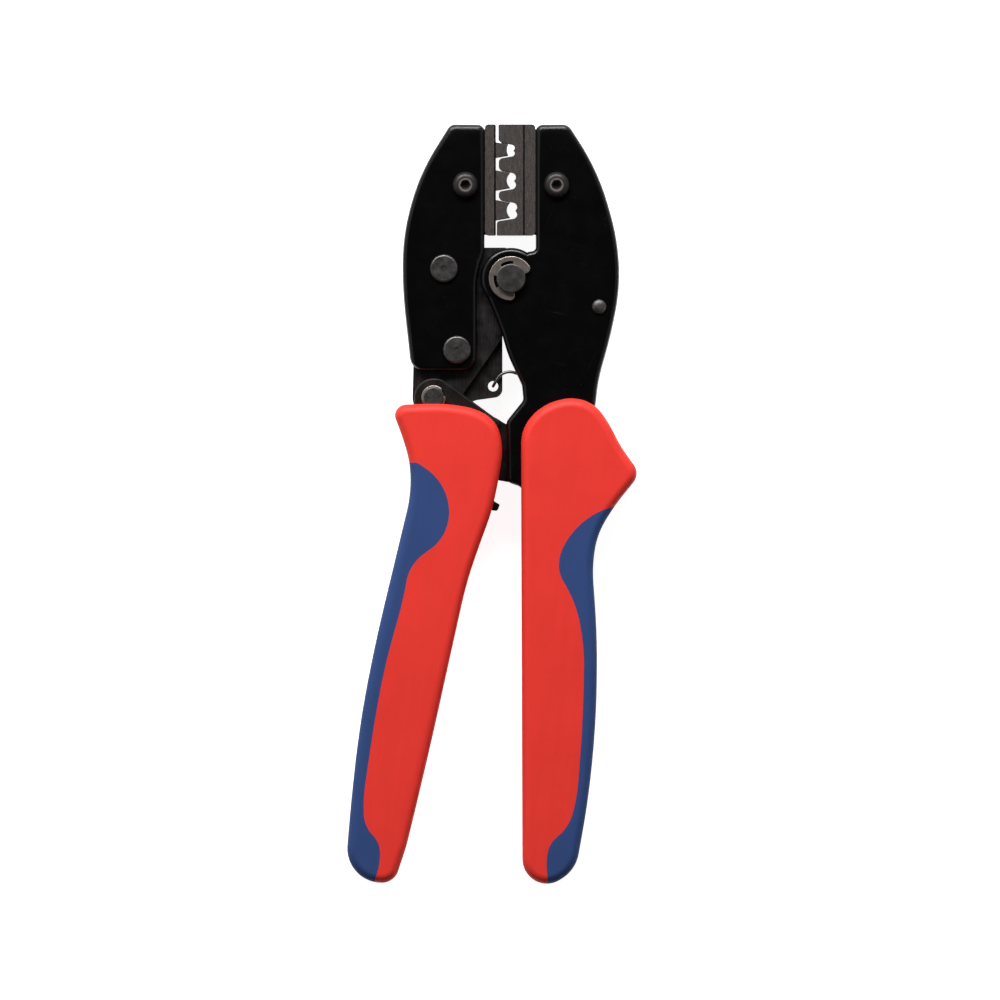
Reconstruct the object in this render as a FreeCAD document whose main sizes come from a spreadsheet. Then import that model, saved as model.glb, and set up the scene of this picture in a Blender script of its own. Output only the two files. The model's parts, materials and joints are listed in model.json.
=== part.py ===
import FreeCAD, Part
import math
import os
import Sketcher
from FreeCAD import Placement, Rotation, Vector

# Ratchet crimping tool, lying on its back. +Y runs from the grips to the jaws, +X to the fixed
# side and +Z up. While it is drawn, the main pivot is at x = y = 0 and the middle plane of the
# plates at z = 0. At the end every sub-part is shifted so that the middle of the tool's base is
# at the origin. All lengths are in millimetres.

SIZES = (
    # Places of the pins and holes, from the main pivot
    ("handle_pivot_x", -22.5),
    ("handle_pivot_y", -34.6),
    ("knee_x", -8.4),
    ("knee_y", -48.7),
    ("toggle_x", 12),
    ("toggle_y", -56),
    ("pawl_x", -14.5),
    ("pawl_y", -64.5),
    ("post_x", 25.6),
    ("post_y", -8.2),
    ("spring_hole_x", -5.2),
    ("spring_hole_y", -31.3),
    ("upper_rivet_x", -19.5),
    ("upper_rivet_y", 2.9),
    ("lower_rivet_x", -15.7),
    ("lower_rivet_y", -20.75),
    ("die_screw_x", 13.25),
    ("die_screw_y", 27.15),
    ("fixed_rivet_x", 13.5),
    ("fixed_rivet_y", -100),
    ("moving_rivet_x", -26.6),
    ("moving_rivet_y", -99),
    # Layers, from the middle plane outwards
    ("middle_layer", 2),
    ("outer_layer", 2.1),
    ("plate_thickness", 3),
    ("cheek_thickness", 2),
    ("plate_play", 0.1),
    ("cheek_play", 0.2),
    ("grip_thickness", 21),
    ("die_width", 10),
    ("link_thickness", 6),
    ("pawl_thickness", 4),
    # Edges
    ("plate_rounding", 1.4),
    ("cheek_rounding", 0.5),
    ("grip_rounding", 2.6),
    # Round pieces, by diameter
    ("hub_diameter", 17.8),
    ("core_disc_diameter", 17.2),
    ("main_pin_diameter", 8.4),
    ("clip_groove_diameter", 6.8),
    ("clip_diameter", 12.9),
    ("handle_pin_diameter", 6),
    ("handle_boss_diameter", 11.2),
    ("core_boss_diameter", 12.6),
    ("knee_pin_diameter", 5),
    ("toggle_pin_diameter", 5),
    ("link_eye_diameter", 11),
    ("link_disc_diameter", 18.2),
    ("tooth_tip_diameter", 22.4),
    ("pawl_pin_diameter", 3),
    ("pawl_hub_diameter", 6),
    ("rivet_head_diameter", 8.1),
    ("rivet_shank_diameter", 5),
    ("tail_rivet_diameter", 4),
    ("tail_collar_diameter", 7),
    ("screw_diameter", 4),
    ("screw_head_diameter", 7.6),
    ("screw_socket", 2.9),
    ("post_diameter", 4.15),
    ("spring_hole_diameter", 3),
    ("spring_diameter", 5.8),
    ("spring_wire", 0.85),
    ("spring_lead", 5.2),
    ("spring_tail", 7.9),
    ("pawl_wire", 0.45),
    # Heights of heads and clips
    ("rivet_head", 1.1),
    ("screw_head", 2.2),
    ("pin_head", 1.6),
    ("clip_thickness", 1),
    ("pin_end", 1.2),
    # Clearances
    ("pin_clearance", 0.05),
    ("knee_clearance", 0.8),
    ("tooth_clearance", 0.35),
    ("die_clearance", 0.25),
    ("open_clearance", 0.55),
    ("seat_clearance", 0.1),
    # Dies
    ("die_top", 44.8),
    ("die_bottom", 12.6),
    ("left_flange", 7.6),
    ("right_flange", 7.1),
    ("die_face", 4.4),
    ("prong_reach", 3.55),
    ("tongue_end", 18.2),
    ("groove_width", 0.5),
    ("groove_depth", 0.7),
    # Ratchet
    ("tooth_depth", 1.3),
    ("tooth_pitch", 10),
    ("tooth_start", -54),
    ("tooth_count", 9),
    # Where the middle of the base lies, filled in once the tool is drawn
    ("origin_x", 0),
    ("origin_y", 0),
    ("origin_z", 0),
)

doc = FreeCAD.newDocument("CrimpingTool")
sheet = doc.addObject("Spreadsheet::Sheet", "Sizes")
CELLS = {}
for row, (name, number) in enumerate(SIZES, 1):
    CELLS[name] = "B%d" % row
    sheet.set("A%d" % row, name)
    sheet.set(CELLS[name], str(number))
    sheet.setAlias(CELLS[name], name)
doc.recompute()


class Size:
    """A length worked out from the sheet: its value and the expression that gives it."""

    def __init__(self, text, number):
        self.text = text
        self.number = number

    def __float__(self):
        return float(self.number)

    def combine(self, sign, other, swapped=False):
        other = other if isinstance(other, Size) else Size(repr(float(other)), float(other))
        first, second = (other, self) if swapped else (self, other)
        results = {
            "+": first.number + second.number,
            "-": first.number - second.number,
            "*": first.number * second.number,
        }
        return Size("(%s %s %s)" % (first.text, sign, second.text), results[sign])

    def __add__(self, other):
        return self.combine("+", other)

    def __radd__(self, other):
        return self.combine("+", other, True)

    def __sub__(self, other):
        return self.combine("-", other)

    def __rsub__(self, other):
        return self.combine("-", other, True)

    def __mul__(self, other):
        return self.combine("*", other)

    def __rmul__(self, other):
        return self.combine("*", other, True)

    def __neg__(self):
        return self.combine("*", -1)


def size(name):
    return Size("Sizes." + name, float(sheet.get(name)))


def point(name):
    return size(name + "_x"), size(name + "_y")


ORIGIN = (Size("0", 0.0), Size("0", 0.0))
HANDLE_PIVOT = point("handle_pivot")
KNEE = point("knee")
TOGGLE = point("toggle")
PAWL = point("pawl")
POST = point("post")
SPRING_HOLE = point("spring_hole")
UPPER_RIVET = point("upper_rivet")
LOWER_RIVET = point("lower_rivet")
RIGHT_SCREW = point("die_screw")
LEFT_SCREW = (-RIGHT_SCREW[0], RIGHT_SCREW[1])
FIXED_RIVET = point("fixed_rivet")
MOVING_RIVET = point("moving_rivet")

# Heights above the middle plane
MIDDLE_TOP = size("middle_layer") * 0.5
CORE_TOP = MIDDLE_TOP + size("outer_layer")
COVER_TOP = CORE_TOP + size("plate_thickness")
PLATE_FOOT = CORE_TOP + size("plate_play")
PLATE_TOP = PLATE_FOOT + size("plate_thickness")
CHEEK_FOOT = CORE_TOP + size("cheek_play")
CHEEK_TOP = CHEEK_FOOT + size("cheek_thickness")
GRIP_TOP = size("grip_thickness") * 0.5

# Seats of the dies: the flanges rest beside the plates, the tongues inside them
SEAT = size("seat_clearance")
SEAT_LEFT = -(size("left_flange") + SEAT)
SEAT_RIGHT = size("right_flange") + SEAT
SEAT_END = size("tongue_end") + SEAT
SEAT_TOP = size("die_top") - SEAT
SEAT_BOTTOM = size("die_bottom") - SEAT

PIECES = []


# ---------------------------------------------------------------- drawing helpers

def vector(x, y, z=0.0):
    return Vector(float(x), float(y), float(z))


def outline(corners):
    """Lines and arcs of a closed outline. Each corner is (x, y, radius); where the radius is
    left out, the arc is as large as the two sides allow."""
    count = len(corners)
    places = [vector(corner[0], corner[1]) for corner in corners]
    turns, fixed = [], []
    for index, corner in enumerate(corners):
        arriving = (places[index] - places[index - 1]).normalize()
        leaving = (places[(index + 1) % count] - places[index]).normalize()
        turn = arriving.getAngle(leaving)
        turns.append(turn)
        reach = float(corner[2]) * math.tan(turn / 2) if len(corner) > 2 else None
        fixed.append(reach)
    reaches = []
    for index in range(count):
        room = []
        for other in (index - 1, (index + 1) % count):
            side = places[index].distanceToPoint(places[other])
            room.append(side * 0.5 if fixed[other] is None else side - fixed[other])
        reaches.append(min(room) if fixed[index] is None else fixed[index])
    starts, ends, edges = [], [], []
    for index in range(count):
        here = places[index]
        before = (places[index - 1] - here).normalize()
        after = (places[(index + 1) % count] - here).normalize()
        starts.append(here + before * reaches[index])
        ends.append(here + after * reaches[index])
    for index in range(count):
        here, first, last = places[index], starts[index], ends[index]
        if first.distanceToPoint(last) > 1e-6:
            radius = reaches[index] / math.tan(turns[index] / 2)
            chord_middle = (first + last) * 0.5
            towards = (chord_middle - here).normalize()
            depth = radius / math.cos(turns[index] / 2) - radius
            edges.append(Part.Arc(first, here + towards * depth, last))
        following = starts[(index + 1) % count]
        if last.distanceToPoint(following) > 1e-6:
            edges.append(Part.LineSegment(last, following))
    return edges


def annular_window(inner, outer, start, end):
    """A slot round the origin between two radii and two angles in degrees."""
    def at(radius, angle):
        turn = math.radians(angle)
        return vector(float(radius) * math.cos(turn), float(radius) * math.sin(turn))
    middle = (start + end) / 2
    return [
        Part.Arc(at(inner, start), at(inner, middle), at(inner, end)),
        Part.LineSegment(at(inner, end), at(outer, end)),
        Part.Arc(at(outer, end), at(outer, middle), at(outer, start)),
        Part.LineSegment(at(outer, start), at(inner, start)),
    ]


def make_body(label, listed=True, place=ORIGIN):
    body = doc.addObject("PartDesign::Body", label)
    body.Label = label
    if listed:
        PIECES.append((body, place))
    return body


def sketch(body, name, height, edges=(), role="XY_Plane"):
    drawing = body.newObject("Sketcher::SketchObject", name)
    plane = [feature for feature in body.Origin.OriginFeatures if feature.Role == role][0]
    drawing.AttachmentSupport = [(plane, "")]
    drawing.MapMode = "FlatFace"
    if isinstance(height, Size):
        drawing.setExpression("AttachmentOffset.Base.z", height.text)
    for edge in edges:
        drawing.addGeometry(edge)
    return drawing


def add_circle(drawing, place, diameter, extra=None):
    """A circle whose centre and radius are bound to the sheet."""
    radius = diameter * 0.5 if extra is None else diameter * 0.5 + extra
    circle = Part.Circle(vector(*place), Vector(0, 0, 1), float(radius))
    index = drawing.addGeometry(circle)
    bound = [("Radius", radius)]
    drawing.addConstraint(Sketcher.Constraint("Radius", index, float(radius)))
    if place is ORIGIN:
        drawing.addConstraint(Sketcher.Constraint("Coincident", index, 3, -1, 1))
    else:
        for kind, value in (("DistanceX", place[0]), ("DistanceY", place[1])):
            drawing.addConstraint(Sketcher.Constraint(kind, -1, 1, index, 3, float(value)))
            bound.append((kind, value))
    first = drawing.ConstraintCount - len(bound)
    if place is ORIGIN:
        first = drawing.ConstraintCount - 2
    for step, (kind, value) in enumerate(bound):
        drawing.setExpression("Constraints[%d]" % (first + step), value.text)
    return index


def pad(body, drawing, length):
    feature = body.newObject("PartDesign::Pad", drawing.Name + "_pad")
    feature.Profile = drawing
    feature.setExpression("Length", length.text)
    doc.recompute()
    return feature


def pocket_through(body, drawing):
    before = body.Shape.Volume
    feature = body.newObject("PartDesign::Pocket", drawing.Name + "_pocket")
    feature.Profile = drawing
    feature.Type = "ThroughAll"
    feature.Midplane = True
    doc.recompute()
    if body.Shape.Volume > before - 1e-3:
        raise ValueError("%s cuts nothing" % drawing.Name)
    return feature


def pocket_down(body, drawing, depth, upwards=False):
    before = body.Shape.Volume
    feature = body.newObject("PartDesign::Pocket", drawing.Name + "_pocket")
    feature.Profile = drawing
    feature.Reversed = upwards
    feature.setExpression("Length", depth.text)
    doc.recompute()
    if body.Shape.Volume > before - 1e-3:
        raise ValueError("%s cuts nothing" % drawing.Name)
    return feature


def round_faces(body, heights, radius):
    """Rounds the edges of the flat faces at the given heights."""
    tip = body.Tip
    names = []
    for number, face in enumerate(tip.Shape.Faces, 1):
        box = face.BoundBox
        for height in heights:
            if abs(box.ZMin - float(height)) < 1e-4 and abs(box.ZMax - float(height)) < 1e-4:
                names.append("Face%d" % number)
    feature = body.newObject("PartDesign::Fillet", body.Name + "_fillet")
    feature.Base = (tip, names)
    feature.setExpression("Radius", radius.text)
    doc.recompute()
    return feature


def turned(label, steps, place=ORIGIN):
    """A round piece about its own Z axis. steps are (radius, height) corners from bottom to
    top, with radii and heights bound to the sheet."""
    body = make_body(label, place=place)
    drawing = sketch(body, label + "_profile", None, role="XZ_Plane")
    corners = [(ORIGIN[0], steps[0][1])] + list(steps) + [(ORIGIN[0], steps[-1][1])]
    count = len(corners)
    for index in range(count):
        here, there = corners[index], corners[(index + 1) % count]
        drawing.addGeometry(Part.LineSegment(vector(*here), vector(*there)))
    for index in range(count):
        follower = (index + 1) % count
        drawing.addConstraint(Sketcher.Constraint("Coincident", index, 2, follower, 1))
    for index, (radius, height) in enumerate(corners):
        for kind, value in (("DistanceX", radius), ("DistanceY", height)):
            value = value if isinstance(value, Size) else Size(repr(float(value)), float(value))
            number = drawing.addConstraint(
                Sketcher.Constraint(kind, -1, 1, index, 1, float(value)))
            drawing.setExpression("Constraints[%d]" % number, value.text)
    feature = body.newObject("PartDesign::Revolution", label + "_turned")
    feature.Profile = drawing
    feature.ReferenceAxis = (drawing, ["V_Axis"])
    feature.Angle = 360
    doc.recompute()
    return body


def round_rims(body, rims, radius):
    """Rounds the circular edges at the given (radius, height) places."""
    tip = body.Tip
    names = []
    for number, edge in enumerate(tip.Shape.Edges, 1):
        box = edge.BoundBox
        for rim, height in rims:
            flat = abs(box.ZMin - float(height)) < 1e-4 and abs(box.ZMax - float(height)) < 1e-4
            if flat and abs(box.XMax - float(rim)) < 1e-4:
                names.append("Edge%d" % number)
    feature = body.newObject("PartDesign::Fillet", body.Name + "_rims")
    feature.Base = (tip, names)
    feature.setExpression("Radius", radius.text)
    doc.recompute()
    return feature


# ---------------------------------------------------------------- plates

def plate(label, corners, side, foot, thickness, rounding, discs=(), holes=()):
    """A flat plate in front of (side 1) or behind (side -1) the middle plane, with discs added
    and holes cut. discs and holes are (place, diameter, extra radius)."""
    body = make_body(label)
    base = foot if side > 0 else -(foot + thickness)
    pad(body, sketch(body, label + "_outline", base, outline(corners)), thickness)
    for number, (place, diameter, extra) in enumerate(discs):
        drawing = sketch(body, "%s_disc%d" % (label, number), base)
        add_circle(drawing, place, diameter, extra)
        pad(body, drawing, thickness)
    if rounding is not None:
        outer = base + thickness if side > 0 else base
        round_faces(body, [outer], rounding)
    if holes:
        drawing = sketch(body, label + "_holes", base)
        for place, diameter, extra in holes:
            add_circle(drawing, place, diameter, extra)
        pocket_through(body, drawing)
    return body


FRAME_OUTLINE = [
    (-8.3, -2.0, 0),
    (-2.0, 2.0, 0),
    (4.9, 7.7, 0),
    (SEAT_RIGHT, 8.1, 1.2),
    (SEAT_RIGHT, SEAT_TOP, 2.0),
    (16.6, 44.8, 3.2),
    (25.3, 31.5),
    (30.9, 12.0),
    (31.8, -2.0),
    (29.2, -16.0),
    (25.2, -30.0),
    (24.4, -39.5),
    (19.6, -50.0, 6),
    (19.0, -80.0, 30),
    (FIXED_RIVET[0] + 4.5, FIXED_RIVET[1] - 9, 4.4),
    (FIXED_RIVET[0] - 4.5, FIXED_RIVET[1] - 9, 4.4),
    (8.2, -66.0, 4),
    (2.4, -60.4, 1.5),
    (-1.1, -59.2, 2.0),
    (-1.4, -41.6, 3),
    (3.6, -35.4, 2),
    (3.2, -31.0, 4),
    (-1.0, -22.0),
    (-2.6, -16.0),
]

COVER_OUTLINE = [
    (SEAT_LEFT, SEAT_TOP, 2.0),
    (-17.6, 44.8, 2.6),
    (-26.6, 30.5),
    (-31.4, 13.0),
    (-31.6, -3.0),
    (-29.6, -21.0),
    (-29.0, -26.9, 4.4),
    (-9.9, -26.9, 4.6),
    (-9.9, 2.0),
    (SEAT_LEFT, 7.6, 5),
]

# The lower left corner of the core is round about the handle pivot
CORE_LEFT = HANDLE_PIVOT[0] - size("core_boss_diameter") * 0.5
CORE_FOOT = HANDLE_PIVOT[1] - size("core_boss_diameter") * 0.5
CORE_BOSS_RADIUS = size("core_boss_diameter") * 0.5
CORE_OUTER_SIDE = [
    (HANDLE_PIVOT[0] + 6.4, CORE_FOOT, 3),
    (CORE_LEFT, CORE_FOOT, CORE_BOSS_RADIUS),
    (-28.3, -22.0, 4),
    (-30.2, -4.0),
    (-29.9, 12.0),
    (-25.4, 29.0),
    (-20.6, 38.0, 1),
    (-SEAT_END, 38.0, 0.5),
    (-SEAT_END, SEAT_BOTTOM, 0.5),
    (-8.2, SEAT_BOTTOM, 0.5),
    (-8.2, 9.0, 0.5),
    (-1.5, 9.0, 0),
    (2.0, 0.0, 0),
    (0.0, -8.0, 0),
    (-2.5, -11.5, 3),
]
CORE_TAB = [
    (SPRING_HOLE[0] + 2.7, SPRING_HOLE[1] - 3.0, 2.5),
    (SPRING_HOLE[0] - 6.0, SPRING_HOLE[1] - 4.2, 4),
]
CORE_STEP = [
    (-2.9, -17.9, 0.8),
    (-13.8, -33.4, 1.2),
]

SCREW = size("screw_diameter")
SHANK = size("rivet_shank_diameter")
MAIN_PIN = size("main_pin_diameter")
PIN_PLAY = size("pin_clearance")
for side, end in ((1, "front"), (-1, "rear")):
    plate("frame_plate_" + end, FRAME_OUTLINE, side, PLATE_FOOT, size("plate_thickness"),
          size("plate_rounding"), discs=[(ORIGIN, size("hub_diameter"), None)],
          holes=[(ORIGIN, MAIN_PIN, None), (RIGHT_SCREW, SCREW, None),
                 (POST, size("post_diameter"), None), (TOGGLE, size("toggle_pin_diameter"), None),
                 (FIXED_RIVET, size("tail_rivet_diameter"), None)])
    plate("jaw_cover_" + end, COVER_OUTLINE, side, CORE_TOP, size("plate_thickness"),
          size("plate_rounding"),
          holes=[(LEFT_SCREW, SCREW, None), (UPPER_RIVET, SHANK, None),
                 (LOWER_RIVET, SHANK, None)])
    plate("jaw_core_" + end, CORE_STEP + CORE_OUTER_SIDE, side, MIDDLE_TOP, size("outer_layer"),
          None, discs=[(ORIGIN, size("core_disc_diameter"), None)],
          holes=[(ORIGIN, MAIN_PIN, PIN_PLAY), (HANDLE_PIVOT, size("handle_pin_diameter"), None),
                 (UPPER_RIVET, SHANK, None), (LOWER_RIVET, SHANK, None)])
plate("jaw_core_middle", CORE_TAB + CORE_OUTER_SIDE, 1, -MIDDLE_TOP, size("middle_layer"),
      None, discs=[(ORIGIN, size("core_disc_diameter"), None)],
      holes=[(ORIGIN, MAIN_PIN, PIN_PLAY), (HANDLE_PIVOT, size("handle_pin_diameter"), None),
             (UPPER_RIVET, SHANK, None), (LOWER_RIVET, SHANK, None),
             (SPRING_HOLE, size("spring_hole_diameter"), None)])

# Filler between the frame plates, round the tongue of the right die
SPACER_OUTLINE = [
    (7.8, SEAT_BOTTOM, 0.5),
    (7.8, 10.2, 0.5),
    (9.8, 6.0, 2),
    (11.0, -3.0, 1),
    (29.6, -3.0, 1),
    (30.6, 0.0),
    (29.8, 12.0),
    (24.6, 30.5),
    (SEAT_END + 0.7, 40.5, 0.3),
    (SEAT_END, 40.5, 0.3),
    (SEAT_END, SEAT_BOTTOM, 0.5),
]
plate("fixed_jaw_spacer", SPACER_OUTLINE, 1, -PLATE_FOOT, PLATE_FOOT * 2, None)

# Cheeks of the moving handle: a boss round the handle pivot, a slanted arm and a tang
BOSS = size("handle_boss_diameter") * 0.5
TANG_OUTLINE = [
    (HANDLE_PIVOT[0] - BOSS, HANDLE_PIVOT[1] + BOSS, BOSS),
    (HANDLE_PIVOT[0] + BOSS * 0.36, HANDLE_PIVOT[1] + BOSS, BOSS),
    (-2.7, -41.9, 1.2),
    (-4.6, -45.5, 2),
    (-5.2, -58.0),
    (-9.8, -72.0),
    (-14.0, -86.0),
    (MOVING_RIVET[0] + 5.4, MOVING_RIVET[1] - 9, 4.4),
    (MOVING_RIVET[0] - 6.4, MOVING_RIVET[1] - 9, 4.4),
    (-28.0, -84.0),
    (-25.2, -66.0),
    (-25.6, -52.0),
    (HANDLE_PIVOT[0] - BOSS, -43.0),
]
for side, end in ((1, "front"), (-1, "rear")):
    plate("handle_cheek_" + end, TANG_OUTLINE, side, CHEEK_FOOT, size("cheek_thickness"),
          size("cheek_rounding"),
          holes=[(HANDLE_PIVOT, size("handle_pin_diameter"), PIN_PLAY),
                 (KNEE, size("knee_pin_diameter"), None), (PAWL, size("pawl_pin_diameter"), None),
                 (MOVING_RIVET, size("tail_rivet_diameter"), None)])


# ---------------------------------------------------------------- toggle link and pawl

def toggle_link():
    """A link from the toggle pin to the knee, with ratchet teeth round the knee."""
    half = size("link_thickness") * 0.5
    body = make_body("toggle_link")
    along = (vector(*KNEE) - vector(*TOGGLE)).normalize()
    across = Vector(-along.y, along.x, 0)
    near, far = vector(*TOGGLE), vector(*KNEE)
    eye = float(size("link_eye_diameter")) / 2
    disc = float(size("link_disc_diameter")) / 2
    waist = [near + across * eye, far + across * disc, far - across * disc, near - across * eye]
    arm = outline([(place.x, place.y, 0) for place in waist])
    pad(body, sketch(body, "link_arm", -half, arm), half * 2)
    for number, (place, diameter) in enumerate(((TOGGLE, size("link_eye_diameter")),
                                                (KNEE, size("link_disc_diameter")))):
        drawing = sketch(body, "link_disc%d" % number, -half)
        add_circle(drawing, place, diameter)
        pad(body, drawing, half * 2)
    tip = float(size("tooth_tip_diameter")) / 2
    root = tip - float(size("tooth_depth"))
    pitch = float(size("tooth_pitch"))
    first = float(size("tooth_start"))
    corners = []
    for tooth in range(int(float(size("tooth_count")))):
        rise = math.radians(first - pitch * tooth)
        fall = math.radians(first - pitch * (tooth + 0.3))
        foot = math.radians(first - pitch * (tooth + 0.9))
        for angle, radius in ((rise, root), (fall, tip), (foot, root)):
            corners.append((far.x + radius * math.cos(angle), far.y + radius * math.sin(angle), 0))
    corners.append((far.x, far.y, 0))
    pad(body, sketch(body, "link_teeth", -half, outline(corners)), half * 2)
    drawing = sketch(body, "link_holes", -half)
    add_circle(drawing, TOGGLE, size("toggle_pin_diameter"), PIN_PLAY)
    add_circle(drawing, KNEE, size("knee_pin_diameter"), size("knee_clearance"))
    pocket_through(body, drawing)
    return body


def ratchet_pawl():
    """A pawl with one tip just under the teeth and a release lever that ends outside the grip."""
    half = size("pawl_thickness") * 0.5
    body = make_body("ratchet_pawl")
    hub = float(size("pawl_hub_diameter")) / 2
    x, y = float(PAWL[0]), float(PAWL[1])
    reach = float(size("tooth_tip_diameter")) / 2 + float(size("tooth_clearance"))
    tip = float(KNEE[1]) - reach
    corners = [
        (x, y + hub, 0),
        (x + 5.0, y + hub - 0.1, 0.8),
        (x + 5.5, tip - 0.15, 0.15),
        (x + 7.0, tip - 0.2, 0.15),
        (x + 7.6, tip - 2.7, 1.0),
        (x + 9.9, tip - 4.7, 0.4),
        (x + 11.3, tip - 5.5, 0.5),
        (x + 10.5, tip - 7.4, 0.8),
        (x + 8.0, tip - 7.0, 1.0),
        (x + 4.5, y - 2.2, 2.0),
        (x, y - hub, 0),
    ]
    pad(body, sketch(body, "pawl_outline", -half, outline(corners)), half * 2)
    drawing = sketch(body, "pawl_hub", -half)
    add_circle(drawing, PAWL, size("pawl_hub_diameter"))
    pad(body, drawing, half * 2)
    drawing = sketch(body, "pawl_hole", -half)
    add_circle(drawing, PAWL, size("pawl_pin_diameter"), PIN_PLAY)
    pocket_through(body, drawing)
    return body


toggle_link()
ratchet_pawl()


# ---------------------------------------------------------------- pins, rivets and screws

def headed_rivet(label, place, shank, head, foot_height):
    """A rivet with a domed head on each side and a dimple in each head."""
    top = foot_height + size("rivet_head")
    body = turned(label, [(head * 0.5, -top), (head * 0.5, -foot_height),
                          (shank * 0.5, -foot_height), (shank * 0.5, foot_height),
                          (head * 0.5, foot_height), (head * 0.5, top)], place)
    round_rims(body, [(head * 0.5, top), (head * 0.5, -top)], size("rivet_head") * 0.6)
    for number, (height, upwards) in enumerate(((top, False), (-top, True))):
        drawing = sketch(body, "%s_dimple%d" % (label, number), height)
        add_circle(drawing, ORIGIN, head * 0.2)
        pocket_down(body, drawing, size("rivet_head") * 0.25, upwards)
    return body


def plain_pin(label, place, diameter, half_length):
    body = make_body(label, place=place)
    drawing = sketch(body, label + "_circle", -half_length)
    add_circle(drawing, ORIGIN, diameter)
    pad(body, drawing, half_length * 2)
    return body


def tail_rivet(label, place, collar_height, end_height):
    """A rivet whose wide middle keeps two plates apart."""
    rivet, collar = size("tail_rivet_diameter") * 0.5, size("tail_collar_diameter") * 0.5
    return turned(label, [(rivet, -end_height), (rivet, -collar_height), (collar, -collar_height),
                          (collar, collar_height), (rivet, collar_height), (rivet, end_height)],
                  place)


def die_screw(label, place, seat):
    """A button-head screw with a hexagon socket."""
    head, shank = size("screw_head_diameter") * 0.5, SCREW * 0.5
    top = seat + size("screw_head")
    body = turned(label, [(shank, -seat), (shank, seat), (head, seat), (head, top)], place)
    round_rims(body, [(head, top)], size("screw_head") * 0.75)
    corner = size("screw_socket") * (1 / math.sqrt(3))
    hexagon = []
    for step in range(6):
        turn = math.radians(60 * step)
        hexagon.append((corner * math.cos(turn), corner * math.sin(turn), 0))
    drawing = sketch(body, label + "_socket", top, outline(hexagon))
    pocket_down(body, drawing, size("screw_head") * 0.75)
    return body


headed_rivet("jaw_rivet_upper", UPPER_RIVET, SHANK, size("rivet_head_diameter"), COVER_TOP)
headed_rivet("jaw_rivet_lower", LOWER_RIVET, SHANK, size("rivet_head_diameter"), COVER_TOP)
die_screw("die_screw_left", LEFT_SCREW, COVER_TOP)
die_screw("die_screw_right", RIGHT_SCREW, PLATE_TOP)
plain_pin("toggle_pivot_pin", TOGGLE, size("toggle_pin_diameter"), PLATE_TOP)
plain_pin("knee_pin", KNEE, size("knee_pin_diameter"), CHEEK_TOP)
plain_pin("pawl_pin", PAWL, size("pawl_pin_diameter"), CHEEK_TOP)
tail_rivet("fixed_tail_rivet", FIXED_RIVET, PLATE_FOOT, PLATE_TOP)
tail_rivet("moving_tail_rivet", MOVING_RIVET, CHEEK_FOOT, CHEEK_TOP)


def clipped_pin(label, place, diameter, groove, seat, head):
    """A pin with a flat head behind and a groove in front that takes a clip."""
    radius = diameter * 0.5
    low = seat + PIN_PLAY
    high = low + size("clip_thickness")
    end = high + size("pin_end")
    body = turned(label, [(head * 0.5, -(seat + size("pin_head"))), (head * 0.5, -seat),
                          (radius, -seat), (radius, low), (groove * 0.5, low),
                          (groove * 0.5, high), (radius, high), (radius, end)], place)
    round_rims(body, [(radius, end)], size("pin_end") * 0.3)
    return body


def clip(label, place, seat, inner, outer, opening, windows, window_radius):
    """A spring clip round a groove. opening and windows are pairs of angles in degrees."""
    body = make_body(label, place=place)
    low = seat + PIN_PLAY
    inner_radius, outer_radius = float(inner) / 2 + float(PIN_PLAY), float(outer) / 2
    middle = (inner_radius + outer_radius) / 2
    swell = (outer_radius - inner_radius) * 0.35
    start, end = opening[1], opening[0] + 360

    def at(radius, angle, ahead=0.0):
        turn = math.radians(angle)
        return vector(radius * math.cos(turn) - ahead * math.sin(turn),
                      radius * math.sin(turn) + ahead * math.cos(turn))

    half_way = (start + end) / 2
    edges = [
        Part.Arc(at(outer_radius, start), at(outer_radius, half_way), at(outer_radius, end)),
        Part.Arc(at(outer_radius, end), at(middle, end, swell), at(inner_radius, end)),
        Part.Arc(at(inner_radius, end), at(inner_radius, half_way), at(inner_radius, start)),
        Part.Arc(at(inner_radius, start), at(middle, start, -swell), at(outer_radius, start)),
    ]
    pad(body, sketch(body, label + "_ring", low, edges), size("clip_thickness"))
    round_faces(body, [low + size("clip_thickness")], size("clip_thickness") * 0.2)
    for number, (first, last) in enumerate(windows):
        edges = annular_window(inner_radius - 0.5, window_radius, first, last)
        pocket_through(body, sketch(body, "%s_window%d" % (label, number), low, edges))
    return body


clipped_pin("main_pivot_pin", ORIGIN, MAIN_PIN, size("clip_groove_diameter"), PLATE_TOP,
            size("clip_diameter"))
clip("main_pivot_clip", ORIGIN, PLATE_TOP, size("clip_groove_diameter"), size("clip_diameter"),
     (-89, 30), ((82, 127), (170, 213)), float(size("clip_diameter")) / 2 - 1.4)
HANDLE_GROOVE = size("handle_pin_diameter") - 1.4
HANDLE_CLIP = size("handle_pin_diameter") + 1.0
PIN_ROOM = CHEEK_TOP + size("clip_thickness") + size("pin_end") + 0.3
clipped_pin("handle_pivot_pin", HANDLE_PIVOT, size("handle_pin_diameter"), HANDLE_GROOVE,
            CHEEK_TOP, HANDLE_CLIP)
clip("handle_pivot_clip", HANDLE_PIVOT, CHEEK_TOP, HANDLE_GROOVE, HANDLE_CLIP,
     (0, 48), (), 0)


def spring_post():
    """A pin through both frame plates, narrower between them, with a domed front end."""
    wide, narrow = size("post_diameter") * 0.5, size("post_diameter") * 0.5 - 0.4
    top = PLATE_TOP + 0.9
    body = turned("spring_post", [(wide, -PLATE_TOP), (wide, -PLATE_FOOT), (narrow, -PLATE_FOOT),
                                  (narrow, PLATE_FOOT), (wide, PLATE_FOOT), (wide, top)], POST)
    round_rims(body, [(wide, top)], size("post_diameter") * 0.18)
    return body


spring_post()


# ---------------------------------------------------------------- dies

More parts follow.
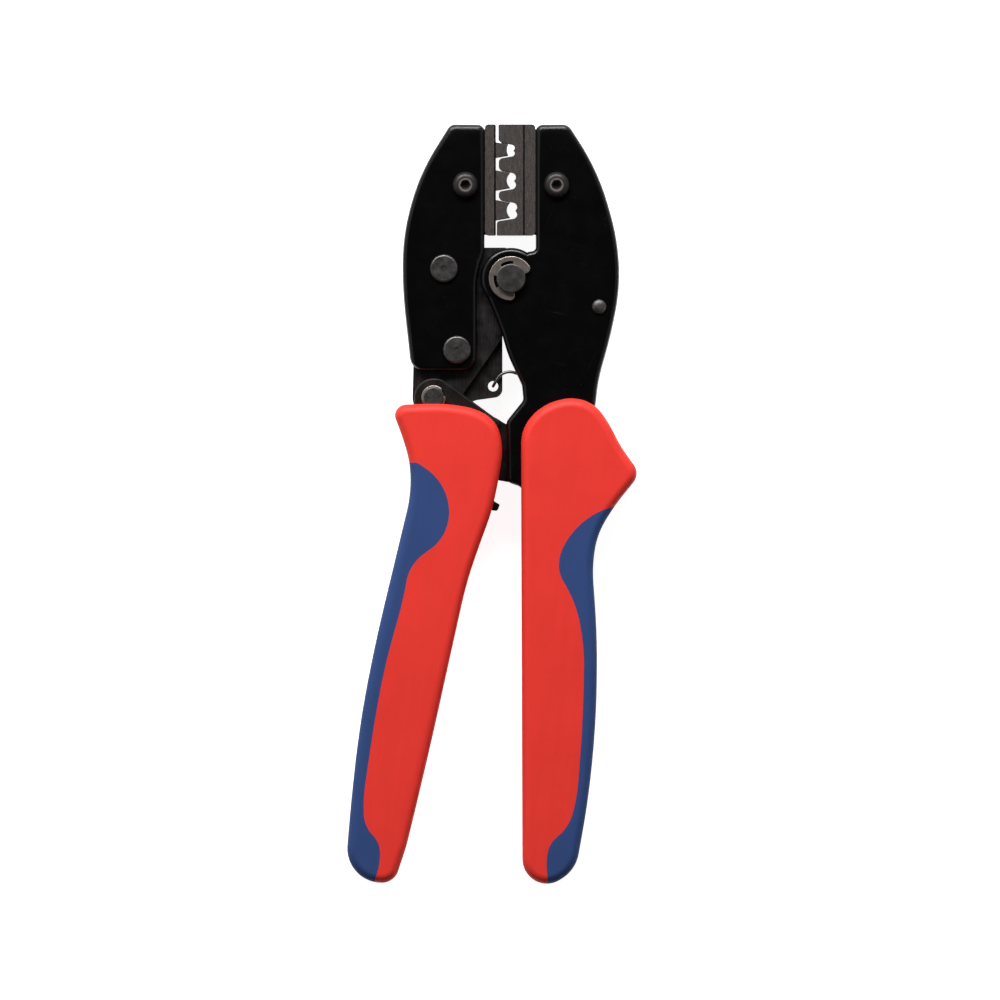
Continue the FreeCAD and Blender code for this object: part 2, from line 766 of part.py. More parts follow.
DIE_HALF = size("die_width") * 0.5
DIE_TOP = size("die_top")
DIE_BOTTOM = size("die_bottom")
DIE_FACE = size("die_face")
TONGUE_FOOT = DIE_BOTTOM + 0.2
TONGUE_TOP = DIE_TOP - 1.4
# A nest between the dies has two lobes side by side on the right and a hollow anvil on the left.
# Each is (height of its middle, half its height, radius of a lobe, x of the lobes' centres,
# x of the anvil's corners), from the top one down.
NESTS = (
    (37.25, 1.8, 1.0, 0.1, -0.85),
    (28.4, 2.5, 1.4, 0.04, -0.3),
    (19.75, 2.45, 1.38, 0.4, -0.3),
)
HOLLOW_X = -1.21
FLARE = 0.18


def box_corners(left, right, low, high, radius=0):
    return [(left, high, radius), (right, high, radius), (right, low, radius), (left, low, radius)]


def tongue_corners(inner, outer):
    """A tongue from beside the face out to its end, with its outer top corner cut off."""
    slant = (outer - inner) * 0.25
    return [(inner, TONGUE_TOP, 0.3), (outer - slant, TONGUE_TOP, 0.3),
            (outer, TONGUE_TOP - size("tongue_end") * 0.15, 0.3), (outer, TONGUE_FOOT, 0.3),
            (inner, TONGUE_FOOT, 0.3)]


def cut_grooves(body, left, right):
    """A groove along the front and the back of a die."""
    for number, (height, upwards) in enumerate(((DIE_HALF, False), (-DIE_HALF, True))):
        edges = outline(box_corners(left, right, DIE_BOTTOM - 1, DIE_TOP + 1))
        drawing = sketch(body, "%s_groove%d" % (body.Label, number), height, edges)
        pocket_down(body, drawing, size("groove_depth"), upwards)


def die_left():
    """Base, tongue with a screw hole, and three anvils with hollow tips."""
    body = make_body("die_left")
    flange = size("left_flange")
    base = [(-flange, DIE_TOP, 1.0), (-DIE_FACE, DIE_TOP, 0.5), (-DIE_FACE, DIE_BOTTOM, 0.3),
            (-flange, DIE_BOTTOM, 1.2)]
    pad(body, sketch(body, "left_base", -DIE_HALF, outline(base)), DIE_HALF * 2)
    tongue = tongue_corners(-DIE_FACE - 0.5, -size("tongue_end"))
    pad(body, sketch(body, "left_tongue", -CORE_TOP, outline(tongue)), CORE_TOP * 2)
    gap, open_gap = float(size("die_clearance")), float(size("open_clearance"))
    root = -float(DIE_FACE) - 0.3
    for number, (middle, half, _, lobe_x, tip) in enumerate(NESTS):
        def upper(x):
            return vector(x, middle + half - gap + FLARE * (lobe_x - x))

        def lower(x):
            return vector(x, middle - half + open_gap - FLARE * (lobe_x - x))

        edges = [
            Part.LineSegment(lower(root), lower(tip)),
            Part.Arc(lower(tip), vector(HOLLOW_X, middle), upper(tip)),
            Part.LineSegment(upper(tip), upper(root)),
            Part.LineSegment(upper(root), lower(root)),
        ]
        pad(body, sketch(body, "anvil%d" % number, -DIE_HALF, edges), DIE_HALF * 2)
    cut_grooves(body, -DIE_FACE - size("groove_width"), -DIE_FACE)
    drawing = sketch(body, "left_hole", -CORE_TOP)
    add_circle(drawing, LEFT_SCREW, SCREW)
    pocket_through(body, drawing)
    return body


def die_right():
    """Base, tongue with a screw hole, and two rounded prongs between three nests."""
    body = make_body("die_right")
    flange = size("right_flange")
    nose = -float(size("prong_reach"))
    block = [(nose - 0.13, DIE_TOP, 0.5), (flange, DIE_TOP, 1.1), (flange, DIE_BOTTOM, 1.2),
             (nose - 0.6, DIE_BOTTOM, 0.3)]
    rounds = ((0.9, 1.5), (1.0, 1.6), (1.2, None))
    for (middle, half, _, lobe_x, _), (under, over) in zip(reversed(NESTS), rounds):
        rise = half + FLARE * (lobe_x - nose)
        side = nose - 0.55 if over == rounds[0][1] else nose
        block += [(side, middle - rise, under), (lobe_x, middle - half, 0),
                  (lobe_x, middle + half, 0)]
        if over is None:
            corner = middle + half + FLARE * (lobe_x - nose - 0.85)
            block += [(nose + 0.85, corner, 0.4), (nose - 0.13, corner + 0.9, 0.4)]
        else:
            block.append((nose, middle + rise, over))
    pad(body, sketch(body, "right_base", -DIE_HALF, outline(block)), DIE_HALF * 2)
    tongue = tongue_corners(flange - 0.5, size("tongue_end"))
    pad(body, sketch(body, "right_tongue", -PLATE_FOOT, outline(tongue)), PLATE_FOOT * 2)
    for number, (middle, half, lobe, lobe_x, _) in enumerate(NESTS):
        for end, shift in (("lower", lobe - half), ("upper", half - lobe)):
            drawing = sketch(body, "nest%d_%s" % (number, end), -DIE_HALF)
            centre = vector(lobe_x, middle + shift)
            drawing.addGeometry(Part.Circle(centre, Vector(0, 0, 1), lobe))
            pocket_through(body, drawing)
    cut_grooves(body, flange - 3.6, flange - 3.6 + size("groove_width"))
    drawing = sketch(body, "right_hole", -PLATE_FOOT)
    add_circle(drawing, RIGHT_SCREW, SCREW)
    pocket_through(body, drawing)
    return body


die_left()
die_right()


# ---------------------------------------------------------------- grips

def helper_body(label, pads):
    """A solid that only shapes others. pads are (edges, height of its foot, length)."""
    body = make_body(label, listed=False)
    for number, (edges, foot, length) in enumerate(pads):
        pad(body, sketch(body, "%s_%d" % (label, number), foot, edges), length)
    return body


def circle_edges(place, radius):
    return [Part.Circle(vector(*place), Vector(0, 0, 1), float(radius))]


def boolean(kind, label, base, tool, listed=False):
    result = doc.addObject(kind, label)
    result.Base = base
    result.Tool = tool
    result.Label = label
    if listed:
        PIECES.append((result, ORIGIN))
    return result


def grip(name, points, hollow, insert):
    """A rounded grip with a hollow for the steel inside it, split into a body and an insert."""
    blank = make_body(name + "_blank", listed=False)
    drawing = sketch(blank, name + "_outline", -GRIP_TOP, outline(points))
    pad(blank, drawing, GRIP_TOP * 2)
    round_faces(blank, [-GRIP_TOP, GRIP_TOP], size("grip_rounding"))
    shell = boolean("Part::Cut", name + "_shell", blank, hollow)
    region = helper_body(name + "_region", [(outline(insert), -GRIP_TOP - 1, GRIP_TOP * 2 + 2)])
    boolean("Part::Cut", name + "_grip_body", shell, region, listed=True)
    boolean("Part::Common", name + "_grip_insert", shell, region, listed=True)


MOVING_GRIP = [
    (-35.2, -36.8, 3.2), (-31.8, -45.2), (-29.2, -53.9), (-29.2, -63.2), (-33.7, -81.8),
    (-39.3, -105.1), (-43.8, -128.3), (-46.5, -151.6), (-48.4, -175.6, 10),
    (-33.9, -175.6, 5), (-30.4, -165.0, 20), (-27.1, -151.6), (-21.7, -128.3),
    (-16.7, -105.1), (-12.7, -87.6), (-8.5, -75.6), (-5.6, -67.8), (-3.6, -58.5),
    (-2.2, -49.4), (-4.0, -41.8), (-9.8, -37.9), (-19.0, -36.3),
]
MOVING_INSERT = [
    (-27.2, -53.6, 2), (-22.2, -56.9), (-18.6, -62.5), (-17.6, -69.5), (-20.3, -76.5),
    (-29.5, -83.0), (-31.3, -93.5), (-36.5, -112.0), (-39.6, -128.3), (-42.9, -151.0),
    (-42.6, -159.0), (-38.0, -164.0), (-38.0, -170.0), (-40.5, -178.0, 1), (-60.0, -178.0, 1),
    (-60.0, -52.4, 1),
]
FIXED_GRIP = [
    (18.0, -34.4), (24.4, -36.5), (28.6, -42.2), (31.6, -48.4), (37.6, -56.8, 4.2),
    (29.8, -66.4), (25.0, -74.5), (23.6, -84.0), (25.1, -104.0),
    (24.8, -128.3), (22.5, -151.6), (18.8, -172.0), (10.4, -177.0), (3.3, -172.8),
    (3.1, -84.0), (2.9, -43.4), (9.4, -36.5),
]
FIXED_INSERT = [
    (60.0, -66.0, 1), (29.4, -66.4, 1), (22.5, -68.8), (15.5, -76.5), (13.1, -84.3),
    (18.9, -94.5), (21.3, -107.0), (20.9, -128.3), (19.2, -150.5), (17.0, -159.0),
    (11.0, -164.4), (10.2, -169.5), (10.9, -178.0, 1), (60.0, -178.0, 1),
]


def grips():
    link_half = size("link_thickness") * 0.5 + size("cheek_play")
    # The link, the core and the pawl swing in the middle of the moving grip, open inwards
    swing = [(-27.0, -30.0, 1), (4.0, -30.0, 1), (4.0, -69.0, 1), (-9.5, -70.5, 2),
             (-20.5, -70.0, 2), (-22.0, -52.0, 4), (-27.0, -44.0, 3)]
    core_room = CORE_BOSS_RADIUS + 0.9
    moving_hollow = helper_body("moving_hollow", [
        (outline(TANG_OUTLINE), -CHEEK_TOP, CHEEK_TOP * 2),
        (outline(swing), -link_half, link_half * 2),
        (circle_edges(HANDLE_PIVOT, core_room), -link_half, link_half * 2),
        (circle_edges(HANDLE_PIVOT, HANDLE_CLIP * 0.5 + 0.4), -PIN_ROOM, PIN_ROOM * 2),
    ])
    grip("moving", MOVING_GRIP, moving_hollow, MOVING_INSERT)
    room = [(-4.0, -40.0, 1), (17.0, -40.0, 2), (18.0, -68.0, 3), (4.0, -68.0, 2), (-4.0, -66.0, 1)]
    fixed_hollow = helper_body("fixed_hollow", [
        (outline(FRAME_OUTLINE), -PLATE_TOP, PLATE_TOP * 2),
        (outline(room), -PLATE_FOOT, PLATE_FOOT * 2),
    ])
    grip("fixed", FIXED_GRIP, fixed_hollow, FIXED_INSERT)


grips()


# ---------------------------------------------------------------- springs

def swept_wire(path, wire_radius):
    """A round wire along a path of smoothly joined lines and arcs."""
    edges = [edge.toShape() for edge in path]
    start = edges[0].valueAt(edges[0].FirstParameter)
    direction = edges[0].tangentAt(edges[0].FirstParameter)
    ring = Part.Wire([Part.makeCircle(wire_radius, start, direction)])
    return Part.Wire(edges).makePipeShell([ring], True, False)


def quarter_bend(start, heading, leaving, radius):
    """An arc that turns from one direction into another at right angles."""
    corner = start + heading * radius
    half_way = corner + (leaving - heading) * radius * (1 - math.sqrt(0.5))
    return Part.Arc(start, half_way, corner + leaving * radius)


# The hook of the return spring bows sideways by this angle at each end
BULGE = 40


def return_spring():
    """Close coil between the spring post and the hole in the core. One end is an eye round the
    post, behind the middle plane. The other passes in front and goes down through the hole."""
    wire = float(size("spring_wire")) / 2
    radius = float(size("spring_diameter")) / 2 - wire
    pitch = wire * 2 + 0.1
    bend = radius - 0.2
    up = Vector(0, 0, 1)
    post, hole = vector(*POST), vector(*SPRING_HOLE)
    axis = (hole - post).normalize()
    low_side = axis.cross(up) * -1 if axis.cross(up).y > 0 else axis.cross(up)
    lead = float(size("spring_lead"))
    room = post.distanceToPoint(hole) - lead - float(size("spring_tail"))
    length = int(room / pitch) * pitch
    turn = Rotation(FreeCAD.Matrix(low_side.x, up.x, axis.x, 0, low_side.y, up.y, axis.y, 0,
                                   low_side.z, up.z, axis.z, 0, 0, 0, 0, 1))
    slope = Vector(0, 2 * math.pi * radius, pitch)
    ring = Part.Wire([Part.makeCircle(wire, Vector(radius, 0, 0), slope)])
    coil = Part.Wire(Part.makeHelix(pitch, length, radius).Edges).makePipeShell([ring], True, True)
    coil.Placement = Placement(post + axis * lead, turn)
    coil_start = post + axis * lead + low_side * radius
    coil_end = coil_start + axis * length

    towards = (hole - coil_end).normalize()
    rising = Rotation(up, -BULGE).multVec(towards)
    falling = Rotation(up, BULGE).multVec(towards)
    over = coil_end + rising * bend + up * bend
    down = hole - falling * bend + up * bend
    bulge = towards.cross(up) * (over.distanceToPoint(down) / 2)
    crown = (over + down) * 0.5 + bulge * math.tan(math.radians(BULGE / 2))
    hook = [quarter_bend(coil_end, up, rising, bend), Part.Arc(over, crown, down),
            quarter_bend(down, falling, -up, bend),
            Part.LineSegment(hole, hole - up * float(size("middle_layer")))]

    behind = up * -bend
    first = coil_start - axis * bend + behind
    beside = post + low_side * radius + behind
    far_side = post - low_side * radius + behind
    eye = [quarter_bend(coil_start, -up, -axis, bend), Part.LineSegment(first, beside),
           Part.Arc(beside, post - axis * radius + behind, far_side),
           Part.Arc(far_side, post + (axis - low_side) * radius * math.sqrt(0.5) + behind,
                    post + axis * radius + behind)]
    spring = doc.addObject("Part::Feature", "return_spring")
    spring.Label = "return_spring"
    spring.Shape = Part.makeCompound([coil, swept_wire(hook, wire), swept_wire(eye, wire)])
    PIECES.append((spring, ORIGIN))
    return spring


def pawl_spring():
    """A small torsion spring on the pawl pin, between the pawl and the front cheek."""
    wire = float(size("pawl_wire")) / 2
    radius = float(size("pawl_pin_diameter")) / 2 + wire + 0.1
    low = float(size("pawl_thickness")) / 2 + wire + 0.05
    centre = vector(PAWL[0], PAWL[1], low)
    ring = Part.makeTorus(radius, wire, centre, Vector(0, 0, 1))
    legs = []
    for side in (1, -1):
        foot = centre + Vector(radius * side, 0, 0)
        legs.append(Part.makeCylinder(wire, 5.0, foot, Vector(0.25 * side, -1, 0)))
    shape = ring.fuse(legs)
    spring = doc.addObject("Part::Feature", "pawl_spring")
    spring.Label = "pawl_spring"
    spring.Shape = shape
    PIECES.append((spring, ORIGIN))
    return spring


return_spring()
pawl_spring()


# ---------------------------------------------------------------- placing and writing

def place_pieces():
    """Puts each piece at its pivot, with the middle of the whole tool's base at the origin."""
    doc.recompute()
    whole = FreeCAD.BoundBox()
    for piece, place in PIECES:
        box = piece.Shape.BoundBox
        box.move(vector(*place) - piece.Placement.Base)
        whole.add(box)
    middle = whole.Center
    for name, number in (("origin_x", -middle.x), ("origin_y", -middle.y),
                         ("origin_z", -whole.ZMin)):
        sheet.set(CELLS[name], "%.6f" % number)
    doc.recompute()
    for piece, place in PIECES:
        for axis, value in zip("xyz", (place[0], place[1], Size("0", 0.0))):
            text = "%s + Sizes.origin_%s" % (value.text, axis)
            piece.setExpression("Placement.Base." + axis, text)
    doc.recompute()


def check_objects():
    for item in doc.Objects:
        if "Invalid" in item.State or "Error" in item.State:
            raise ValueError("%s failed: %s" % (item.Name, item.State))
    for piece, _ in PIECES:
        shape = piece.Shape
        solids = 3 if piece.Label == "return_spring" else 1
        if shape.isNull() or not shape.isValid() or len(shape.Solids) != solids:
            raise ValueError("%s has %d solids" % (piece.Label, len(shape.Solids)))


place_pieces()
check_objects()
os.makedirs("parts", exist_ok=True)
for piece, _ in PIECES:
    piece.Shape.exportStep(os.path.join("parts", piece.Label + ".step"))
print("%d sub-parts" % len(PIECES))
for name in ("origin_x", "origin_y", "origin_z"):
    print(name, sheet.get(name))
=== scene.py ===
import bmesh
import bpy
import json
import math
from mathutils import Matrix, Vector

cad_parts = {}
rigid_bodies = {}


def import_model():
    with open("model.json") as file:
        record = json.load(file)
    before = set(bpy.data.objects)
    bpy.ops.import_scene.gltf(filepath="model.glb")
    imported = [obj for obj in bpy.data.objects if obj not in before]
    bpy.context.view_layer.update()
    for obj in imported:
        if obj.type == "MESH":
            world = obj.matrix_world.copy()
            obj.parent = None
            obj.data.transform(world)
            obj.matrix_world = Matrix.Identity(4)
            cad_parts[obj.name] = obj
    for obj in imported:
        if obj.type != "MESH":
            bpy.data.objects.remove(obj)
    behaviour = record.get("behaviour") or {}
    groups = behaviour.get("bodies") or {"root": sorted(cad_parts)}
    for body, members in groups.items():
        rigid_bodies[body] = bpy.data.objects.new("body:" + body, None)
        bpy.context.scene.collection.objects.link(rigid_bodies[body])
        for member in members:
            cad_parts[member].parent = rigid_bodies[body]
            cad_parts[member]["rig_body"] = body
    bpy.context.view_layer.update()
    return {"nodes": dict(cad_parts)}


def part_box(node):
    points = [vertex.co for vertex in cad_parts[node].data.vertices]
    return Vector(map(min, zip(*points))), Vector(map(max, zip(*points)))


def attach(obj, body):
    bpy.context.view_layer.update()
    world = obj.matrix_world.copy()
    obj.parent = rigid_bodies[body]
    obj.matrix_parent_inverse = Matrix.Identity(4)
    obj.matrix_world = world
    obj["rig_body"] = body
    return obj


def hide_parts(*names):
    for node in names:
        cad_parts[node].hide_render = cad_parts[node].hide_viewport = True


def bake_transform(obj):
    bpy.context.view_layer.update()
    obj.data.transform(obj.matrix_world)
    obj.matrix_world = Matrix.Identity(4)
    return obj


# Ratchet crimping tool lying on its back on a white table, seen from straight above.
# Metres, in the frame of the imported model: +Y from the grips to the jaws, +Z up.

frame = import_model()

GRIP_EDGE = 0.00035         # eased edges of the moulded grips
FINE_EDGE = 0.00012         # of ground and stamped steel
LINK_EDGE = 0.00025
PAWL_EDGE = 0.0002
SHARP = math.radians(35)    # edges that turn by more than this are eased
WELD = 2e-6                 # mesh points this close are one
FLAT = math.radians(0.4)    # faces that turn by less than this are one

TIP_LEAN_STARTS = 0.012     # below the tips of the plates, where their rims begin to lean
TIP_LEAN_FULL = 0.002

TABLE_HALF = 4.0
TABLE_GREY = 0.8
TABLE_GLOW = 0.92
AIM = Vector((0, 0, 0.01))  # where the lamps point

LENS = 500                  # mm, long enough to hide the upright walls
SENSOR = 36
FIELD = 0.2906              # width of the view on the plates
CAMERA_X, CAMERA_Y = 0.002723, 0.001296


# ---------------------------------------------------------------- node helpers

def add(tree, kind, inputs=None, **settings):
    """Adds a node. inputs maps a socket's name or number to a value or to another socket."""
    node = tree.nodes.new(kind)
    for name, value in settings.items():
        setattr(node, name, value)
    for key, value in (inputs or {}).items():
        if isinstance(value, bpy.types.NodeSocket):
            tree.links.new(value, node.inputs[key])
        else:
            node.inputs[key].default_value = value
    return node


def maths(tree, operation, first, second=0.0):
    return add(tree, "ShaderNodeMath", {0: first, 1: second}, operation=operation).outputs[0]


def blend(tree, *parts):
    """The sum of (socket, share) pairs."""
    total = 0.0
    for socket, share in parts:
        total = maths(tree, "ADD", maths(tree, "MULTIPLY", socket, share), total)
    return total


def ramp(tree, value, stops):
    """A value remapped through (position, result) stops."""
    node = add(tree, "ShaderNodeValToRGB", {0: value})
    elements = node.color_ramp.elements
    while len(elements) < len(stops):
        elements.new(0.5)
    for element, (position, result) in zip(elements, stops):
        element.position = position
        element.color = (result, result, result, 1)
    return node.outputs[0]


def between(tree, share, first, second):
    """A colour between two linear colours, or colour sockets."""
    ends = [end if isinstance(end, bpy.types.NodeSocket) else (*end, 1) for end in (first, second)]
    node = add(tree, "ShaderNodeMix", {0: share, 6: ends[0], 7: ends[1]}, data_type="RGBA")
    return node.outputs[2]


def srgb(red, green, blue):
    """A linear colour from 8-bit display values."""
    values = [level / 255 for level in (red, green, blue)]
    return tuple(v / 12.92 if v <= 0.04045 else ((v + 0.055) / 1.055) ** 2.4 for v in values)


class Surface:
    """One procedural material round a Principled shader. Texture sizes are in millimetres."""

    def __init__(self, name, metallic=0.0, **sockets):
        self.material = bpy.data.materials.new(name)
        self.material.use_nodes = True
        self.tree = self.material.node_tree
        self.shader = self.tree.nodes["Principled BSDF"]
        self.shader.inputs["Metallic"].default_value = metallic
        for key, value in sockets.items():
            self.shader.inputs[key.replace("_", " ")].default_value = value
        self.place = add(self.tree, "ShaderNodeTexCoord").outputs["Object"]
        self.normal = None

    def noise(self, grain, stretch=(1, 1, 1), turn=0.0, detail=3.0, rough=0.5):
        """Noise with patches of about `grain` mm, drawn out along the axes by `stretch`."""
        scale = [1000 / (grain * each) for each in stretch]
        turned = add(self.tree, "ShaderNodeMapping",
                     {"Vector": self.place, "Rotation": (0, 0, math.radians(turn))})
        mapped = add(self.tree, "ShaderNodeVectorMath",
                     {0: turned.outputs[0], 1: scale}, operation="MULTIPLY")
        made = add(self.tree, "ShaderNodeTexNoise",
                   {"Vector": mapped.outputs[0], "Scale": 1.0, "Detail": detail,
                    "Roughness": rough})
        return made.outputs[0]

    def reach(self, node):
        """Distance in mm from the upright axis through the middle of a CAD piece."""
        low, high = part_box(node)
        offset = add(self.tree, "ShaderNodeVectorMath",
                     {0: self.place, 1: (low + high) / 2}, operation="SUBTRACT")
        flat = add(self.tree, "ShaderNodeVectorMath",
                   {0: offset.outputs[0], 1: (1000, 1000, 0)}, operation="MULTIPLY")
        length = add(self.tree, "ShaderNodeVectorMath", {0: flat.outputs[0]}, operation="LENGTH")
        return length.outputs["Value"]

    def rings(self, node, pitch):
        """Fine rings about the axis of a CAD piece, `pitch` mm apart, broken up by noise."""
        turns = self.maths("MULTIPLY", self.reach(node), 2 * math.pi / pitch)
        wander = self.maths("MULTIPLY", self.noise(1.5), 5.0)
        wave = self.maths("SINE", self.maths("ADD", turns, wander))
        return self.maths("ADD", self.maths("MULTIPLY", wave, 0.5), 0.5)

    def below_face(self, node, depth):
        """1 more than `depth` mm under the front or back face of a CAD piece, 0 on the face."""
        low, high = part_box(node)
        height = add(self.tree, "ShaderNodeSeparateXYZ", {0: self.place}).outputs["Z"]
        offset = self.maths("SUBTRACT", height, (low.z + high.z) / 2)
        far = self.maths("ABSOLUTE", offset)
        return self.maths("LESS_THAN", far, (high.z - low.z) / 2 - depth / 1000)

    def maths(self, operation, first, second=0.0):
        return maths(self.tree, operation, first, second)

    def blend(self, *parts):
        return blend(self.tree, *parts)

    def mix(self, share, first, second):
        return between(self.tree, share, first, second)

    def steps(self, value, *stops):
        return ramp(self.tree, value, stops)

    def colour(self, socket):
        self.tree.links.new(socket, self.shader.inputs["Base Color"])
        return self

    def roughness(self, value, low, high):
        """Roughness from low to high as value goes from 0 to 1."""
        spread = add(self.tree, "ShaderNodeMapRange", {"Value": value, "To Min": low,
                                                       "To Max": high})
        self.tree.links.new(spread.outputs[0], self.shader.inputs["Roughness"])
        return self

    def soft_edges(self, width, share=1.0):
        """Lets the surface lean over towards its edges within `width` mm of them."""
        bevel = add(self.tree, "ShaderNodeBevel", {"Radius": width / 1000}, samples=8)
        plain = add(self.tree, "ShaderNodeNewGeometry").outputs["Normal"]
        lean = add(self.tree, "ShaderNodeMix", {0: share, 4: plain, 5: bevel.outputs[0]},
                   data_type="VECTOR")
        self.normal = add(self.tree, "ShaderNodeVectorMath", {0: lean.outputs[1]},
                          operation="NORMALIZE").outputs[0]
        return self

    def bump(self, height, strength, depth):
        """Relief of up to `depth` mm."""
        inputs = {"Height": height, "Strength": strength, "Distance": depth / 1000}
        if self.normal:
            inputs["Normal"] = self.normal
        self.normal = add(self.tree, "ShaderNodeBump", inputs).outputs[0]
        self.tree.links.new(self.normal, self.shader.inputs["Normal"])
        return self


# ---------------------------------------------------------------- materials

def lacquer(name, base, fleck):
    """Glossy black lacquer, soft at the edges, with orange peel and faint dust and scratches."""
    look = Surface(name, Specular_IOR_Level=0.4)
    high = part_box("jaw_cover_front")[1]
    ahead = add(look.tree, "ShaderNodeSeparateXYZ", {0: look.place}).outputs["Y"]
    near_tip = add(look.tree, "ShaderNodeMapRange", {
        "Value": ahead, "From Min": high.y - TIP_LEAN_STARTS,
        "From Max": high.y - TIP_LEAN_FULL})
    look.soft_edges(3.4, look.maths("MULTIPLY", near_tip.outputs[0], 0.55))
    dust = look.steps(look.noise(0.5, detail=1), (0.77, 0), (0.84, 1))
    hair = look.steps(look.noise(0.5, (1, 22, 1), 24, 2), (0.73, 0), (0.78, 1))
    wipe = look.steps(look.noise(0.6, (30, 1, 1), 12, 2), (0.72, 0), (0.78, 1))
    marks = look.maths("MULTIPLY", look.maths("MAXIMUM", hair, wipe), look.noise(14))
    marked = look.maths("MAXIMUM", look.maths("MULTIPLY", marks, 0.6), dust)
    plain = look.mix(look.noise(9, detail=4), [c * 0.7 for c in base], [c * 1.4 for c in base])
    look.colour(look.mix(look.maths("MULTIPLY", marked, 0.4), plain, fleck))
    look.roughness(look.maths("ADD", look.noise(5), marked), 0.16, 0.30)
    look.bump(look.noise(1.1, detail=1), 0.15, 0.01)
    look.bump(marked, 0.25, 0.003)
    return look.material


def blued_steel(name, dark, light, grain_turn=0.0):
    """Dark ground steel with fine grinding lines and cloudy stains."""
    look = Surface(name, metallic=0.85)
    lines = look.noise(0.16, (1, 40, 1), grain_turn, 4)
    cloud = look.noise(4, detail=5, rough=0.6)
    share = look.blend((lines, 0.55), (cloud, 0.45))
    look.colour(look.mix(look.steps(share, (0.34, 0), (0.66, 1)), dark, light))
    look.roughness(cloud, 0.36, 0.6)
    look.bump(lines, 0.35, 0.01)
    look.bump(look.noise(0.4, detail=2), 0.2, 0.01)
    return look.material


def turned_steel(name, node, dark, light, dome=None):
    """Steel with faint turning rings about the middle of a round piece, whose face is domed
    over the last `dome` mm."""
    look = Surface(name, metallic=0.9)
    if dome:
        look.soft_edges(dome)
    rings = look.rings(node, 0.42)
    cloud = look.noise(1.8, detail=5, rough=0.6)
    pits = look.steps(look.noise(0.35, detail=2), (0.62, 0), (0.74, 1))
    share = look.blend((rings, 0.25), (cloud, 0.75))
    look.colour(look.mix(look.steps(share, (0.28, 0), (0.72, 1)), dark, light))
    look.roughness(look.maths("MAXIMUM", cloud, pits), 0.32, 0.5)
    look.bump(rings, 0.25, 0.012)
    look.bump(pits, 0.3, -0.01)
    return look.material


def spring_steel(name, dark, light):
    """Bare spring steel, grainy and a little warm."""
    look = Surface(name, metallic=1.0)
    grain = look.noise(0.3, detail=5, rough=0.65)
    cloud = look.noise(2.5, detail=3)
    share = look.blend((grain, 0.6), (cloud, 0.4))
    look.colour(look.mix(look.steps(share, (0.32, 0), (0.68, 1)), dark, light))
    look.roughness(grain, 0.28, 0.52)
    look.bump(grain, 0.4, 0.015)
    return look.material


def die_steel(name, node, dark, light):
    """Dark tool steel with fine upright grain and dark specks, and painted shade in its grooves
    and recessed steps.
    """
    look = Surface(name, metallic=0.6)
    lines = look.noise(0.12, (1, 14, 14), 0, 5, 0.6)
    bands = look.noise(0.5, (1, 5, 5), 0, 4)
    spots = look.steps(look.noise(0.42, detail=4, rough=0.7), (0.50, 0), (0.68, 1))
    share = look.blend((lines, 0.7), (bands, 0.3))
    plain = look.mix(look.steps(share, (0.34, 0), (0.66, 1)), dark, light)
    # A darker steel colour, used for the dark specks and for the painted shade.
    speck_and_shade_colour = [c * 0.3 for c in dark]
    speckled = look.mix(look.maths("MULTIPLY", spots, 0.6), plain, speck_and_shade_colour)
    # Everything more than 0.15 mm below the face is painted dark: painted shade in the grooves and
    # steps.
    look.colour(look.mix(look.below_face(node, 0.15), speckled, speck_and_shade_colour))
    look.roughness(lines, 0.42, 0.62)
    look.bump(lines, 0.4, 0.012)
    return look.material


def moulded(name, colour, rough, grain, relief):
    """Moulded grip plastic with a fine spark-eroded texture and slight unevenness."""
    look = Surface(name, Specular_IOR_Level=0.25)
    cloud = look.noise(16, detail=4, rough=0.6)
    fine = look.noise(grain, detail=4, rough=0.6)
    streak = look.noise(2.2, (1, 9, 1), 8, 3)
    share = look.blend((cloud, 0.6), (streak, 0.4))
    plain = look.mix(look.steps(share, (0.3, 0), (0.7, 1)), [c * 0.95 for c in colour],
                     [min(1, c * 1.05) for c in colour])
    look.colour(look.mix(look.steps(fine, (0.3, 0.10), (0.45, 0)), plain,
                         [c * 0.7 for c in colour]))
    look.roughness(cloud, rough - 0.06, rough + 0.08)
    look.bump(fine, relief, 0.03)
    look.bump(look.noise(3.5, detail=2), 0.06, 0.05)
    return look.material


def oxide_screw_painted_light(name, node, dark, light, painted_glint_colour):
    """Black oxide on a screw head, with painted shading that is dark towards the outer edge and
    light round the socket, and a painted highlight ring round the socket.
    """
    look = Surface(name, metallic=0.7)
    reach = look.maths("DIVIDE", look.reach(node), 5.0)
    # Painted shading: light just outside the socket, falling to dark at the outer edge of the
    # head.
    painted_radial_shade = look.steps(reach, (0.16, 0.2), (0.24, 1), (0.33, 0.95), (0.50, 0.4), (0.76, 0))
    cloud = look.noise(0.8, detail=5, rough=0.6)
    share = look.blend((painted_radial_shade, 0.85), (cloud, 0.3))
    plain = look.mix(look.steps(share, (0.10, 0), (0.95, 1)), dark, light)
    # Painted highlight: a bright ring just outside the socket, in the painted glint colour.
    edge = look.steps(reach, (0.27, 0), (0.29, 1), (0.36, 1), (0.41, 0))
    look.colour(look.mix(look.maths("MULTIPLY", edge, 0.7), plain, painted_glint_colour))
    look.roughness(look.noise(0.5, detail=3), 0.30, 0.50)
    look.bump(look.noise(0.25, detail=3), 0.2, 0.01)
    return look.material


# ---------------------------------------------------------------- dressing the pieces

def dress(material, *pieces):
    for piece in pieces:
        piece.data.materials.clear()
        piece.data.materials.append(material)


def cad(*names):
    return [frame["nodes"][name] for name in names]


def placed(name, data):
    """A new object in the scene."""
    piece = bpy.data.objects.new(name, data)
    bpy.context.scene.collection.objects.link(piece)
    return piece


